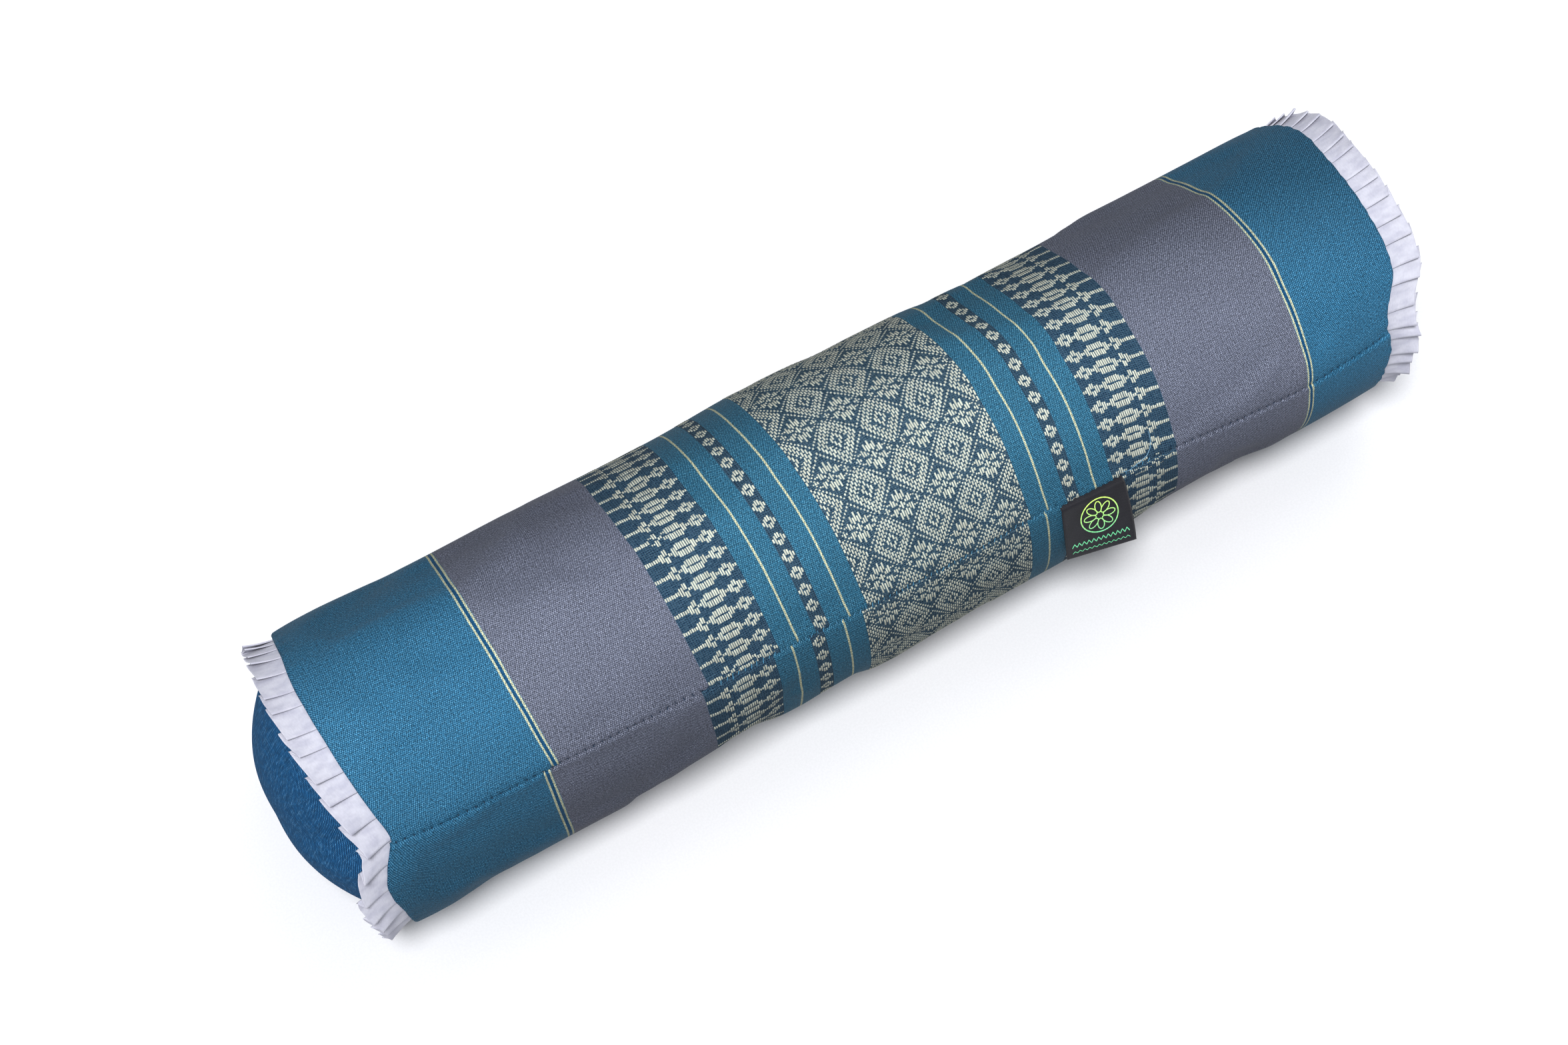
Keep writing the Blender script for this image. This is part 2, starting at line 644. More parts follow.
def satin_ribbon(name, colour, shade):
    """Pale ribbon: very fine cross ribs, a soft lustre and slightly grey folds."""
    s = Shader(name, roughness=0.62, sheen=0.08, specular=0.3)
    place = s.attribute("cloth").outputs["Vector"]
    x, along, _ = s.parts(place)
    rib = s.math("MULTIPLY", s.wave(along, 0.42), s.wave(x, 0.5))
    cloudy = s.noise(s.stretch(place, 0.12, 0.2), detail=3.0)
    worn = s.noise(s.stretch(place, 1.4, 0.5), detail=3.0)
    tint = s.mix(s.spread(cloudy, 0.3, 0.75), colour, shade)
    tint = s.brighten(tint, s.spread(worn, 0.3, 0.7, 0.965, 1.03))
    return s.finish(tint, rib, depth=0.05, strength=0.5, roughness=s.spread(worn, 0.3, 0.7, 0.5, 0.72))


def thread(name, colour, light):
    """Twisted sewing thread."""
    s = Shader(name, roughness=0.55, sheen=0.1)
    place = s.attribute("cloth").outputs["Vector"]
    x, along, _ = s.parts(place)
    twist = s.wave(s.math("ADD", x, s.math("MULTIPLY", along, 1.4)), 0.5)
    fuzz = s.noise(s.stretch(place, 3.0, 3.0), detail=3.0)
    tint = s.mix(s.spread(twist, -0.3, 0.9), colour, light)
    tint = s.brighten(tint, s.spread(fuzz, 0.3, 0.7, 0.8, 1.2))
    return s.finish(tint, twist, depth=0.06, roughness=s.spread(fuzz, 0.3, 0.7, 0.5, 0.75))


def label_satin(name):
    """Near-black woven satin: fine warp lines with a faint lustre."""
    s = Shader(name, roughness=0.55, sheen=0.12, specular=0.4)
    place = s.attribute("cloth").outputs["Vector"]
    x, along, _ = s.parts(place)
    warp = s.wave(x, 0.28)
    float_end = s.wave(s.math("ADD", along, s.math("MULTIPLY", x, 2.6)), 0.9)
    fleck = s.noise(s.stretch(place, 3.5, 1.2), detail=3.0, rough=0.7)
    cloudy = s.noise(s.stretch(place, 0.12, 0.12), detail=2.0)
    weave = s.math("MULTIPLY_ADD", float_end, 0.4, warp)
    colour = s.mix(s.spread(weave, -1.0, 1.2), (19, 19, 25), (38, 38, 46))
    colour = s.mix(s.spread(fleck, 0.58, 0.8, 0.0, 0.5), colour, (60, 59, 68))
    colour = s.brighten(colour, s.spread(cloudy, 0.3, 0.7, 0.88, 1.15))
    return s.finish(colour, weave, depth=0.05, roughness=s.spread(fleck, 0.3, 0.7, 0.45, 0.65))


def label_yarn(name):
    """Embroidery yarn, yellow-green at the top of the label and mint lower down."""
    s = Shader(name, roughness=0.45, sheen=0.2)
    place = s.attribute("cloth").outputs["Vector"]
    x, down, _ = s.parts(place)
    fibres = s.noise(s.stretch(place, 6.0, 6.0), detail=3.0)
    colour = s.mix(s.spread(down, 7.0, 27.0, smooth=False), (196, 226, 120), (112, 196, 150))
    colour = s.brighten(colour, s.spread(fibres, 0.3, 0.7, 0.8, 1.15))
    return s.finish(colour, fibres, depth=0.05, roughness=s.spread(fibres, 0.3, 0.7, 0.38, 0.55))


def calico(name):
    """Undyed liner cotton: a loose plain weave with seed flecks."""
    s = Shader(name)
    place, x, weft = cloth_coordinates(s)
    over = s.math("MULTIPLY", s.wave(x, 0.9), s.wave(weft, 0.9))
    fleck = s.noise(s.stretch(place, 0.7, 0.7), detail=4.0, rough=0.8)
    colour = s.mix(s.spread(over, -0.8, 0.8), (190, 180, 155), (228, 221, 200))
    colour = s.mix(s.spread(fleck, 0.68, 0.76), colour, (120, 96, 66))
    colour = s.brighten(colour, yarn_tone(s, place, 0.2))
    return s.finish(colour, over, depth=0.12, roughness=s.spread(fleck, 0.3, 0.7, 0.8, 0.95))


def kapok(name):
    """Silky, matted seed fibre."""
    s = Shader(name, roughness=0.6, sheen=0.4)
    place = s.attribute("cloth").outputs["Vector"]
    mat = s.noise(s.stretch(place, 0.16, 0.4), detail=8.0, rough=0.75)
    strand = s.noise(s.stretch(place, 0.8, 2.6), detail=5.0, rough=0.7)
    colour = s.mix(s.spread(mat, 0.3, 0.7), (214, 196, 158), (246, 238, 214))
    colour = s.brighten(colour, s.spread(strand, 0.3, 0.7, 0.85, 1.1))
    height = s.math("MULTIPLY_ADD", strand, 0.4, mat)
    return s.finish(colour, height, depth=1.2, roughness=s.spread(strand, 0.3, 0.7, 0.5, 0.75))


def floor_paper(name):
    """Plain pale studio paper with a barely seen tooth."""
    s = Shader(name, roughness=0.9, specular=0.2)
    node = s.tree.nodes.new("ShaderNodeTexCoord")
    tooth = s.noise(node.outputs["Object"], scale=900.0, detail=2.0)
    colour = s.mix(s.spread(tooth, 0.3, 0.7), (198, 198, 200), (201, 201, 203))
    return s.finish(colour, tooth, depth=0.02, strength=0.3)


LINE_CREAM = (196, 194, 162)
BLUE = dict(light=(105, 148, 164), middle=(43, 97, 122), hole=(14, 45, 70))
TEAL = dict(light=(106, 152, 175), middle=(44, 99, 128), hole=(14, 46, 72))
SLATE = dict(light=(150, 153, 165), middle=(97, 102, 117), hole=(45, 48, 62))
slate_cloth = plain_weave("slate_weave", **SLATE)
teal_cloth = plain_weave("teal_weave", **TEAL, lines=DOUBLE_LINES, deep=(20, 74, 110))
blue_inner_cloth = plain_weave("blue_weave_inner", **BLUE, lines=(INNER_LINE,))
blue_outer_cloth = plain_weave("blue_weave_outer", **BLUE, lines=(OUTER_LINE,))
brocade_ground = figured_ground("brocade_ground", (112, 138, 154), (52, 80, 100), (26, 46, 66))
strip_ground = figured_ground("strip_ground", (104, 130, 146), (54, 80, 98), (30, 48, 64))
centre_ground = figured_ground("centre_ground", (120, 142, 154), (60, 86, 102), (30, 48, 66))
cream_yarn = raised_yarn("cream_yarn", (178, 180, 169), (86, 94, 96))
cap_denim = denim("cap_denim", (98, 146, 180), (44, 97, 134), (20, 54, 88))
ribbon_satin = satin_ribbon("ribbon_satin", (180, 180, 189), (164, 164, 176))
navy_thread = thread("navy_thread", (16, 34, 56), (44, 78, 108))
blue_thread = thread("blue_thread", (38, 104, 142), (120, 178, 204))
pale_thread = thread("pale_thread", (96, 136, 162), (150, 184, 204))
label_black = label_satin("label_black")
label_green = label_yarn("label_green")
liner_calico = calico("liner_calico")
kapok_fibre = kapok("kapok_fibre")


# ---------------------------------------------------------------- cloth simulation

def simulate_cover():
    """Swells a coarse closed copy of the cover, held at its seams and floor: what radius it gained."""
    xs = np.linspace(-HALF, HALF, SIM_COLUMNS)
    angles = np.arange(SIM_ROWS) * TAU / SIM_ROWS
    x, angle = np.meshgrid(xs, angles, indexing="ij")
    start = around_axis(x, plain_radius(x) - 1.5, angle)
    faces = grid_faces(SIM_COLUMNS, SIM_ROWS, closed=True)
    ends = np.arange(SIM_ROWS), np.arange(SIM_ROWS)[::-1] + (SIM_COLUMNS - 1) * SIM_ROWS
    mesh = bpy.data.meshes.new("swelling")
    mesh.from_pydata((start.reshape(-1, 3) * MM).tolist(), [],
                     faces.tolist() + [end.tolist() for end in ends])
    roll = bpy.data.objects.new("swelling", mesh)
    bpy.context.scene.collection.objects.link(roll)
    distance = np.abs(seam_distance(x, angle))
    held = np.exp(-(distance / 3.0) ** 2)
    held[0], held[-1] = 1.0, 1.0
    held = np.maximum(held, 0.9 * (start[..., 2] < 3.0))
    group = roll.vertex_groups.new(name="held")
    for index, weight in enumerate(held.ravel()):
        if weight > 0.02:
            group.add([index], float(min(weight, 1.0)), "REPLACE")
    cloth = roll.modifiers.new("cloth", "CLOTH")
    cloth.settings.vertex_group_mass = "held"
    cloth.settings.quality = 6
    cloth.settings.mass = 0.25
    cloth.settings.tension_stiffness = 12
    cloth.settings.compression_stiffness = 12
    cloth.settings.bending_stiffness = 0.4
    cloth.settings.shrink_min = -0.02
    cloth.settings.use_pressure = True
    cloth.settings.uniform_pressure_force = 4
    cloth.settings.effector_weights.gravity = 0
    cloth.point_cache.frame_start = 1
    cloth.point_cache.frame_end = SIM_FRAMES
    scene = bpy.context.scene
    for number in range(1, SIM_FRAMES + 1):
        scene.frame_set(number)
    evaluated = roll.evaluated_get(bpy.context.evaluated_depsgraph_get())
    moved = np.array([v.co for v in evaluated.data.vertices]).reshape(SIM_COLUMNS, SIM_ROWS, 3) / MM
    scene.frame_set(1)
    bpy.data.objects.remove(roll)
    out = unit((start - np.array([0, 0, AXIS_HEIGHT])) * np.array([0, 1, 1]))
    gained = ((moved - start) * out).sum(-1)
    return np.clip(gained - np.median(gained), -SIM_REACH, SIM_REACH)


sim_lift = simulate_cover()


# ---------------------------------------------------------------- woven cover

def round_steps():
    """Shares of the way round: close together at the seam, then even."""
    near = np.array([0.0, 0.25, 0.5, 0.8, 1.2, 1.7, 2.3, 3.0, 3.8, 4.8, 6.0, 7.5, 9.2, 11.2])
    middle = np.linspace(13.5, AROUND - 13.5, int((AROUND - 27) / ROUND_STEP))
    return np.concatenate([near, middle, AROUND - near[::-1]]) / AROUND


def cover_band(name, start, end, material):
    """Ring of the cover between two lines of the pattern, cut at the long seam."""
    xs = np.linspace(start, end, int(round((end - start) / BAND_STEP)) + 1)
    at_end = max(abs(start), abs(end)) > HALF - 0.01
    if at_end:
        side = -1 if start < 0 else 1
        rim = side * (HALF - np.array([6.0, 4.5, 3.3, 2.4, 1.7, 1.15, 0.7, 0.4, 0.2, 0.08, 0.0]))
        xs = np.sort(np.concatenate([xs[np.abs(xs) < HALF - 6.5], rim]))
    shares = round_steps()
    share, x = np.meshgrid(shares, xs, indexing="ij")
    on_roll, angle = lay_cloth(x, share)
    points = skin(on_roll, angle)
    weft = share * AROUND + seam_weft(x) + row_drop(x)
    cloth = np.stack([np.abs(x - PATTERN_MIDDLE), weft, np.zeros_like(x)], -1)
    points, cloth = tuck_seam(points, cloth)
    if at_end:
        points, cloth = tuck_end(points, cloth, side)
    obj = build_mesh(name, points, grid_faces(*points.shape[:2]), material, {"cloth": cloth})
    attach(obj, "bolster")
    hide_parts("outer_cover")


def inward(points):
    """Unit vectors towards the roll's axis."""
    return unit(points * np.array([0, -1, -1]) + np.array([0, 0, AXIS_HEIGHT]))


def tuck_seam(points, cloth):
    """Turns the two edges that meet at the long seam down into the roll."""
    first = points[:1] + inward(points[:1]) * 2.2
    last = points[-1:] + inward(points[-1:]) * 2.2
    return (np.concatenate([first, points, last]),
            np.concatenate([cloth[:1] - [0, 2, 0], cloth, cloth[-1:] + [0, 2, 0]]))


def tuck_end(points, cloth, side):
    """Turns the cover's edge in behind the ribbon."""
    rim = points[:, :1] if side < 0 else points[:, -1:]
    turned = rim + inward(rim) * 1.6 + np.array([-side * 0.8, 0, 0])
    pieces = [turned, points] if side < 0 else [points, turned]
    edge = cloth[:, :1] if side < 0 else cloth[:, -1:]
    cloths = [edge, cloth] if side < 0 else [cloth, edge]
    return np.concatenate(pieces, 1), np.concatenate(cloths, 1)


def mirrored_bands(name, start, end, material):
    """The same band on both sides of the pattern's middle line."""
    cover_band(name + "_left", PATTERN_MIDDLE - end, PATTERN_MIDDLE - start, material)
    cover_band(name + "_right", PATTERN_MIDDLE + start, PATTERN_MIDDLE + end, material)


cover_band("cover_centre", PATTERN_MIDDLE - CENTRE_EDGE, PATTERN_MIDDLE + CENTRE_EDGE, centre_ground)
mirrored_bands("cover_blue_inner", CENTRE_EDGE, STRIP_START, blue_inner_cloth)
mirrored_bands("cover_strip", STRIP_START, STRIP_END, strip_ground)
mirrored_bands("cover_blue_outer", STRIP_END, BROCADE_START, blue_outer_cloth)
mirrored_bands("cover_brocade", BROCADE_START, BROCADE_END, brocade_ground)
mirrored_bands("cover_slate", BROCADE_END, TEAL_START, slate_cloth)
cover_band("cover_teal_left", -HALF, PATTERN_MIDDLE - TEAL_START, teal_cloth)
cover_band("cover_teal_right", PATTERN_MIDDLE + TEAL_START, HALF, teal_cloth)


# ---------------------------------------------------------------- raised yarns of the pattern

# Each entry is (columns, stretches of yarn as rows from the motif's middle line), from the
# slate side of the brocade inwards
BROCADE_MOTIF = (
    (7, ((-1.0, 1.0),)),
    (2, ((-2.2, 2.2),)),
    (2, ((0.4, 3.5), (-3.5, -0.4))),
    (2, ((-0.8, 0.8),)),
    (2, ((-2.2, 2.2),)),
    (7, ((0.3, 3.5), (-3.5, -0.3))),
    (2, ((-2.0, 2.0),)),
    (2, ((-0.8, 0.8),)),
    (2, ((-2.0, 2.0),)),
    (2, ((0.45, 3.3), (-3.3, -0.45))),
    (2, ((-2.1, 2.1),)),
    (2, ((-0.8, 0.8),)),
)
STRIP_MOTIF = (
    (1, ((-1.1, 1.1),)),
    (1, ((-2.2, 2.2),)),
    (2, ((0.5, 3.3), (-3.3, -0.5))),
    (1, ((-2.2, 2.2),)),
    (1, ((-1.1, 1.1),)),
)


def motif_columns(motif):
    """(column number, stretches) for each column of a motif."""
    number = 0
    for columns, stretches in motif:
        for _ in range(columns):
            yield number, stretches
            number += 1


def repeat_motif(motif, first_x, column_step, phase):
    """Yarns of a motif repeated round the roll: (x, weft start, weft end) of each."""
    yarns = []
    repeat = MOTIF_ROWS * ROW
    for k in range(-10, 60):
        middle = phase + k * repeat
        for number, stretches in motif_columns(motif):
            x = first_x + column_step * (number + 0.5)
            yarns += [(x, middle + low * ROW, middle + high * ROW) for low, high in stretches]
    return np.array(yarns)


# Yarns of one flower by column from its middle, as rows from its middle
PETALS = (
    ((-1.9, 1.9), (3.0, 7.9), (-7.9, -3.0)),
    ((-0.7, 0.7), (2.0, 5.6), (-5.6, -2.0)),
    ((0.6, 2.0), (-2.0, -0.6), (3.0, 6.8), (-6.8, -3.0)),
    ((0.6, 3.4), (-3.4, -0.6)),
    ((0.6, 4.3), (-4.3, -0.6)),
    ((2.0, 3.1), (-3.1, -2.0)),
    ((-0.7, 0.7),),
    ((-0.7, 0.7),),
)


def between_flowers(column, row):
    """True where the diamonds round and between the flowers show cream."""
    c, r = np.abs(column), np.abs(row)
    from_eye = (FLOWER_ROWS / 2 - r) + 1.35 * (FLOWER_COLUMNS / 2 - c)
    dotted = (np.abs(r + 1.2 * c - 12.0) < 0.6) & (r + 1.35 * c < 13.4)
    dotted |= (np.abs(r + 1.2 * c - 9.6) < 0.5) & (c > 5)
    rings = (from_eye > 1.4) & (from_eye < 4.3) | (from_eye > 5.7) & (from_eye < 12.7)
    rings &= (row + 1.5 * (column % 2)) % 3.0 > 0.5
    return dotted | rings


def flower_column(column):
    """Stretches of cream of one column over one repeat."""
    rows = np.arange(-FLOWER_ROWS / 2, FLOWER_ROWS / 2, 0.125)
    cream = between_flowers(column, rows)
    twice = np.append(np.tile(cream, 2), False)
    found = []
    for start in np.flatnonzero(cream & ~np.roll(cream, 1)):
        length = int(np.argmin(twice[start:]))
        found.append((rows[start], rows[start] + 0.125 * length))
    petals = PETALS[abs(column)] if abs(column) < len(PETALS) else ()
    return found + list(petals)


def centre_yarns(phase):
    """Yarns of the flowered centre, column by column."""
    yarns = []
    pitch = 2 * CENTRE_EDGE / CENTRE_COLUMNS
    for number in range(CENTRE_COLUMNS):
        from_flower = number % FLOWER_COLUMNS - FLOWER_COLUMNS // 2
        x = PATTERN_MIDDLE - CENTRE_EDGE + pitch * (number + 0.5)
        for low, high in flower_column(from_flower):
            for k in range(-5, 17):
                middle = phase + k * FLOWER_ROWS * ROW
                yarns.append((x, middle + low * ROW, middle + high * ROW))
    return np.array(yarns)


def raise_yarns(name, yarns, width, keep=(0.0, 1.0)):
    """Flat yarns on the cover, sunk in at their edges; keep is the part of the way round to make."""
    x, low, high = yarns.T
    origin = seam_weft(x) + row_drop(x)
    low = np.maximum(low, origin + keep[0] * AROUND + 0.5)
    high = np.minimum(high, origin + keep[1] * AROUND - 0.5)
    whole = high - low > 0.7
    x, low, high, origin = x[whole], low[whole], high[whole], origin[whole]
    count = len(x)
    jitter = rng.normal(0, 1, (count, 3))
    across = np.array([-0.5, -0.34, 0.34, 0.5])
    width_along = np.array([0.8, 1.0, 1.0, 0.8])
    on_top = np.zeros((4, 4), bool)
    on_top[1:3, 1:3] = True
    length = (high - low)[:, None] + jitter[:, :1] * 0.12
    ramp = np.minimum(0.22, 0.2 * length)
    stations = np.concatenate([0 * length, ramp, length - ramp, length], 1)
    weft = low[:, None] + jitter[:, 1:2] * 0.07 + stations
    widths = width * width_along * (1 + 0.05 * jitter[:, 2:3])
    xs = x[:, None, None] + widths[:, :, None] * across + 0.03 * jitter[:, :1, None]
    wefts = np.broadcast_to(weft[:, :, None], xs.shape)
    lifts = np.broadcast_to(np.where(on_top, 0.9 * YARN_HEIGHT, YARN_SUNK), xs.shape)
    share = (wefts - origin[:, None, None]) / AROUND
    on_roll, angle = lay_cloth(xs, share)
    points = lifted(on_roll, angle, lifts)
    rise = np.clip(lifts / YARN_HEIGHT, 0, 1)
    tone = np.broadcast_to(rng.uniform(0, 1, (count, 1, 1)), xs.shape)
    cloth = np.stack([xs, wefts, np.zeros_like(xs)], -1)
    faces = repeated_faces(count, 4, 4)
    values = {"cloth": cloth.reshape(-1, 3), "rise": rise.reshape(-1), "tone": tone.reshape(-1)}
    obj = build_mesh(name, points, faces, cream_yarn, values)
    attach(obj, "bolster")
    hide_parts("outer_cover")


for end, side, phase in (("left", -1, 0.2), ("right", 1, 1.6)):
    first = PATTERN_MIDDLE + side * BROCADE_END
    brocade = repeat_motif(BROCADE_MOTIF, first, -side * BROCADE_PITCH, phase)
    raise_yarns("brocade_yarns_" + end, brocade, 0.94)
for end, side, phase in (("left", -1, 1.1), ("right", 1, -0.5)):
    first = PATTERN_MIDDLE + side * (STRIP_START + STRIP_END) / 2 - 3 * STRIP_PITCH
    strip = repeat_motif(STRIP_MOTIF, first, STRIP_PITCH, phase)
    raise_yarns("strip_yarns_" + end, strip, 0.96)
flowers = centre_yarns(110.2)
for part, keep in (("front", (0.0, 0.33)), ("back", (0.33, 0.67)), ("under", (0.67, 1.0))):
    raise_yarns("flower_yarns_" + part, flowers, 0.98, keep)


# ---------------------------------------------------------------- denim ends

def end_cap(name, side):
    """Stuffed round end, sewn in behind the ribbon."""
    rings = np.concatenate([np.linspace(0.0, 0.97, 46), [0.985, 1.0]])
    angles = np.arange(180) * TAU / 180
    ring, angle = np.meshgrid(rings, angles, indexing="ij")
    edge = edge_at(side, angle)
    rim = plain_radius(side * HALF) - 3.4
    drop = DOME_HEIGHT * ring ** 2.45
    pucker = (0.9 * np.cos(26 * angle + np.sin(3 * angle)) + 0.5 * np.cos(41 * angle)) * ring ** 7
    soft = 0.7 * np.cos(2.1 * angle + 0.6 + 2.2 * ring) * ring * (1 - ring) * 4
    tilt = (edge - side * HALF) * ring ** 2
    x = side * (HALF + DOME_HEIGHT - drop + pucker + soft) + tilt - side * 1.2 * (ring > 0.98)
    radius = rim * ring * (1 + 0.006 * np.cos(3 * angle + 1) * ring)
    points = around_axis(x, radius, angle)
    flat = np.stack([radius * np.cos(angle), radius * np.sin(angle), np.zeros_like(x)], -1)
    faces = grid_faces(len(rings), len(angles), closed=True)
    if side < 0:
        faces = faces[:, ::-1]
    obj = build_mesh(name, points, faces, cap_denim, {"cloth": flat.reshape(-1, 3)})
    merge_doubles(obj)
    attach(obj, "bolster")
    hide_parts("end_cap_left" if side < 0 else "end_cap_right")


def merge_doubles(obj):
    """Joins the points that meet at a middle, and drops the faces that this empties."""
    work = bmesh.new()
    work.from_mesh(obj.data)
    bmesh.ops.remove_doubles(work, verts=work.verts, dist=0.01 * MM)
    work.to_mesh(obj.data)
    work.free()


end_cap("denim_end_left", -1)
end_cap("denim_end_right", 1)


# ---------------------------------------------------------------- pleated ribbon

def ribbon_path(side):
    """The ribbon's zigzag: (millimetres round, layer height 0 to 1, share of the pleat) by point."""
    pitch = AROUND / PLEATS
    wobble = np.random.default_rng(11 + side).uniform(-0.18, 0.18, PLEATS) * pitch
    even = np.arange(PLEATS) * pitch
    folds = even + wobble + WIDER_PLEATS[side] * np.sin((even - 72) * TAU / AROUND)
    path = []
    for i in range(PLEATS):
        start = folds[i]
        end = folds[(i + 1) % PLEATS] + (AROUND if i == PLEATS - 1 else 0)
        inner = start - UNDERLAP
        path += [(inner + 0.15, 0.10, 0.0), (inner + 1.5, 0.04, 0.04), (start - 2.0, 0.03, 0.12)]
        path += [(start, 0.10, 0.22), (start + 0.25 * (end - start), 0.28, 0.42)]
        path += [(start + 0.6 * (end - start), 0.6, 0.7), (end - 1.4, 0.92, 0.94)]
        path += [(end - 0.25, 0.99, 1.0), (end, 0.9, 1.0), (end - 0.25, 0.8, 1.0)]
        path += [(end - 1.6, 0.66, 0.8), (end - 3.5, 0.42, 0.45), (end - UNDERLAP + 0.4, 0.2, 0.1)]
        path += [(end - UNDERLAP, 0.15, 0.0)]
    return np.array(path)


def pleated_ribbon(name, side):
    """Knife-pleated ribbon standing out past the end seam."""
    path = ribbon_path(side)
    depth = np.array([-SEWN_DEPTH, -2.0, -0.5, 0.6, 2.0, 4.0, 6.5, 9.0, 11.5, 13.5, 14.6, 15.0])
    depth = depth / RIBBON_WIDTH
    run, out = np.meshgrid(path[:, 0], depth, indexing="ij")
    height = np.broadcast_to(path[:, 1][:, None], run.shape)
    share = np.broadcast_to(path[:, 2][:, None], run.shape)
    angle = -run / RADIUS + np.radians(100)
    edge = edge_at(side, angle)
    free = np.clip(out, 0, 1)
    low = np.exp(-((np.degrees(angle) % 360 - 15 + 180) % 360 - 180) ** 2 / 2 / 38 ** 2)
    own_opening = np.random.default_rng(23 + side).uniform(0.6, 1.45, PLEATS)
    own_opening = np.repeat(own_opening, len(path) // PLEATS)[:, None]
    opening = (2.3 + 1.7 * low + 0.6 * np.sin(3 * angle + side)) * own_opening
    pressed = np.clip((AXIS_HEIGHT + RADIUS * np.sin(angle)) / 14, 0.14, 1)
    lift = (0.5 + (opening * free ** 1.3)) * height * pressed + RIBBON_THICK
    pulled = np.repeat(np.random.default_rng(3).uniform(0.55, 1.35, PLEATS), len(path) // PLEATS)
    skew = (1.6 - 3.4 * share) * free * (0.62 + 0.5 * low) * pulled[:, None]
    lean_out = (1.5 + 1.2 * np.sin(angle + 0.4) ** 2) * free ** 1.5
    x = edge + side * (RIBBON_WIDTH * out + skew)
    twist = 1.6 * free * (0.3 + low) * (share - 0.5)
    base = plain_radius(side * HALF) - 2.5 + lean_out * pressed + np.where(out < 0, 1.2 * out, 0)
    points = around_axis(x, base + lift, angle + twist / RADIUS)
    along = np.concatenate([[0], np.cumsum(np.hypot(np.diff(path[:, 0]), 2.0 * np.diff(path[:, 1])))])
    cloth = np.stack(np.broadcast_arrays(out * RIBBON_WIDTH, along[:, None], 0 * run), -1)
    faces = grid_faces(*run.shape)
    if side < 0:
        faces = faces[:, ::-1]
    obj = build_mesh(name, points, faces, ribbon_satin, {"cloth": cloth.reshape(-1, 3)})
    thicken(obj, RIBBON_THICK)
    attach(obj, "bolster")
    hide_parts("ruffle_left" if side < 0 else "ruffle_right")


def thicken(obj, thickness):
    """Gives a sheet its real thickness."""
    solid = obj.modifiers.new("thickness", "SOLIDIFY")
    solid.thickness = thickness * MM
    solid.offset = 0
    apply_modifiers(obj)


def apply_modifiers(obj):
    """Replaces the mesh by what its modifiers make of it."""
    made = bpy.data.meshes.new_from_object(obj.evaluated_get(bpy.context.evaluated_depsgraph_get()))
    obj.modifiers.clear()
    obj.data = made


pleated_ribbon("pleated_ribbon_left", -1)
pleated_ribbon("pleated_ribbon_right", 1)


# ---------------------------------------------------------------- stitches

def stitch_object(name, paths, radius, material, node):
    """Lengths of sewing thread along paths (count, points, 3), as one object."""
    points, faces = tubes(paths, radius)
    ring = TUBE_SIDES + 1
    along = np.tile(np.repeat(np.arange(paths.shape[1]), ring), len(paths)) * 0.5
    turn = np.tile(np.arange(ring) * 0.2, len(points) // ring)
    obj = build_mesh(name, points, faces, material, {"cloth": np.stack([turn, along, 0 * along], -1)})
    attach(obj, "bolster")
    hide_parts(node)


def across_seam(x, half_run, half_rise, height):
    """Stitches over the long seam, dipping into the cloth at both ends."""
    t = np.linspace(-1, 1, 9)
    xs = x[:, None] + half_run[:, None] * t
    rise = half_rise[:, None] * t
    angle = (seam_weft(xs) + rise) / RADIUS
    lift = height * (1 - t ** 2 * 1.6)
    return lifted(xs, angle, np.broadcast_to(lift, xs.shape))


def long_seam(name, x, length, slant, material, node):
    """Stitches at places along the long seam, none of them under the label."""
    x = x[np.abs(x - LABEL_X) > LABEL_WIDTH / 2 + 1.5]
    size = length / 2 * (1 + 0.2 * rng.normal(0, 1, len(x)))
    tilt = np.radians(slant + rng.normal(0, 12, len(x)))
    paths = across_seam(x, size * np.cos(tilt), size * np.sin(tilt), 0.42)
    stitch_object(name, paths, THREAD_RADIUS, material, node)


def end_seam(name, side, node):
    """Small stitches that hold the ribbon, half hidden under the cover's rolled edge."""
    angle0 = np.arange(END_STITCHES) * TAU / END_STITCHES + rng.normal(0, 0.006, END_STITCHES)
    t = np.linspace(-1, 1, 7)
    angle = angle0[:, None] + 1.4 / RADIUS * t
    edge = edge_at(side, angle)
    radius = plain_radius(side * HALF) - 2.75 + 0.4 * (1 - t ** 2)
    x = edge + side * (0.15 + 0.1 * t)
    stitch_object(name, around_axis(x, radius, angle), END_THREAD_RADIUS, navy_thread, node)


def loose_thread():
    """The end of the closing thread, lying on the cover beside the label."""
    t = np.linspace(0, len(LOOSE_END) - 1, 46)
    steps = range(len(LOOSE_END))
    x, weft, lift = (curve_through(list(zip(steps, values)))(t) for values in zip(*LOOSE_END))
    stitch_object("loose_thread", lifted(x, weft / RADIUS, lift)[None], END_THREAD_RADIUS, pale_thread,
                  "closing_thread")


machine_sewn = {"left": machine_stitches[machine_stitches < HAND_SEAM[0] - 2],
                "right": machine_stitches[machine_stitches > HAND_SEAM[1] + 2]}
hand_sewn = {"left": hand_stitches[hand_stitches < HAND_SPLIT],
             "right": hand_stitches[hand_stitches >= HAND_SPLIT]}
for end, places in machine_sewn.items():
    long_seam("seam_stitches_" + end, places, 1.5, 80, navy_thread, "side_seam_thread_" + end)
for end, places in hand_sewn.items():
    long_seam("closing_stitches_" + end, places, 2.1, 62, blue_thread, "closing_thread")
loose_thread()
end_seam("end_seam_stitches_left", -1, "cap_seam_thread_left")
end_seam("end_seam_stitches_right", 1, "cap_seam_thread_right")


# ---------------------------------------------------------------- label

